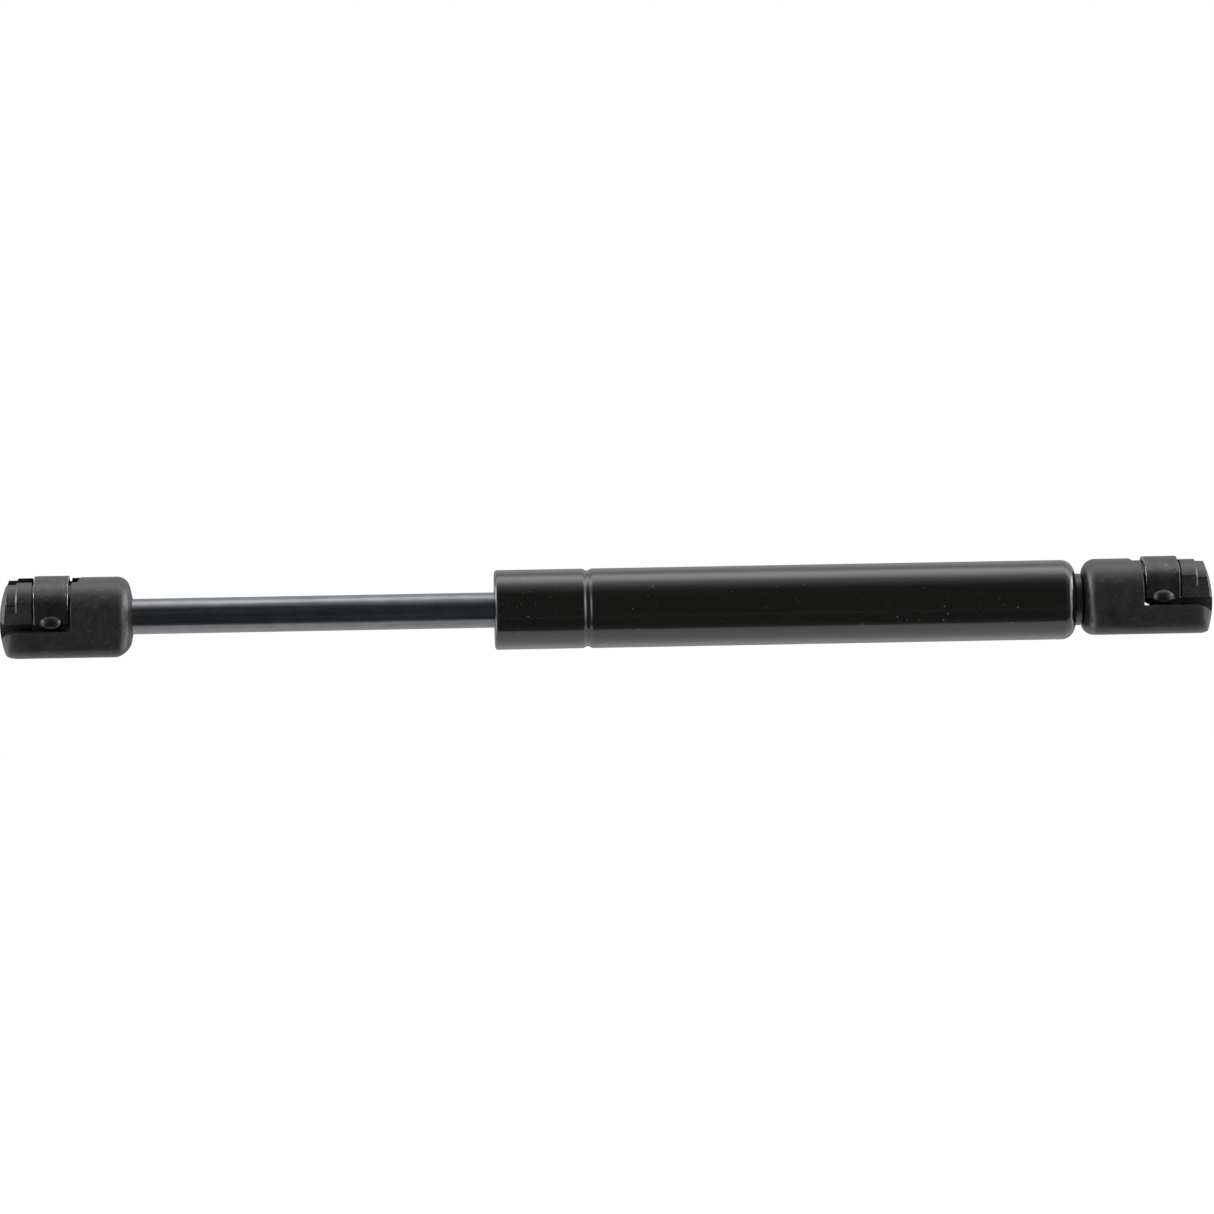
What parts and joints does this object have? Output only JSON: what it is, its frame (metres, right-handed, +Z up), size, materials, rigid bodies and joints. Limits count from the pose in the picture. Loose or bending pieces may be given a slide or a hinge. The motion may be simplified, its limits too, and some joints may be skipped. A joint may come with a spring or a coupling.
{
  "type": "gas strut stay",
  "caption": "Slim gas strut stay with a black tube, a dark sliding rod and a plastic ball socket with a steel retaining clip at each end.",
  "frame": {"origin": "ball centre of the tube-end socket", "axes": "+X along the strut from the rod end towards the tube end, +Z up, away from both socket mouths, +Y away from the viewer"},
  "size_m": [0.2738, 0.0189, 0.0185],
  "materials": {
    "tube_paint": "gloss black paint",
    "rod_steel": "dark nitrided and polished",
    "socket_plastic": "satin black glass-filled nylon",
    "clip_steel": "satin dark spring steel",
    "dark_steel": "dark phosphated steel",
    "plain_steel": "turned steel",
    "guide_plastic": "natural acetal",
    "bush_bronze": "plain bearing bronze",
    "seal_rubber": "black nitrile rubber"
  },
  "bodies": {
    "cylinder": {"pressure_tube": "tube_paint", "rod_guide": "guide_plastic", "guide_bush": "bush_bronze", "rod_seal": "seal_rubber", "seal_energiser_ring": "seal_rubber", "seal_support_washer": "plain_steel", "retaining_spacer": "guide_plastic", "end_plug": "dark_steel", "end_plug_o_ring": "seal_rubber", "tube_end_socket": "socket_plastic"},
    "tube_clip": {"tube_end_clip": "clip_steel"},
    "ring": {"piston_ring": "guide_plastic"},
    "rod": {"piston_rod": "rod_steel", "piston": "plain_steel", "piston_front_disc": "plain_steel", "piston_metering_disc": "plain_steel", "piston_back_washer": "plain_steel", "rod_end_socket": "socket_plastic"},
    "rod_clip": {"rod_end_clip": "clip_steel"}
  },
  "joints": [
    {"name": "gas_stroke", "type": "slide", "parent": "cylinder", "child": "ring", "axis": [1, 0, 0], "range_m": [0, 0.08], "stiffness_N_per_m": 225, "springref_m": -0.267},
    {"name": "rod_spin", "type": "hinge", "parent": "ring", "child": "rod", "pos_m": [-0.25, 0, 0], "axis": [1, 0, 0], "continuous": true},
    {"name": "tube_end_clip_lift", "type": "slide", "parent": "cylinder", "child": "tube_clip", "axis": [0, 0, 1], "range_m": [0, 0.004]},
    {"name": "rod_end_clip_lift", "type": "slide", "parent": "rod", "child": "rod_clip", "axis": [0, -0.1736, 0.9848], "range_m": [0, 0.004]}
  ]
}
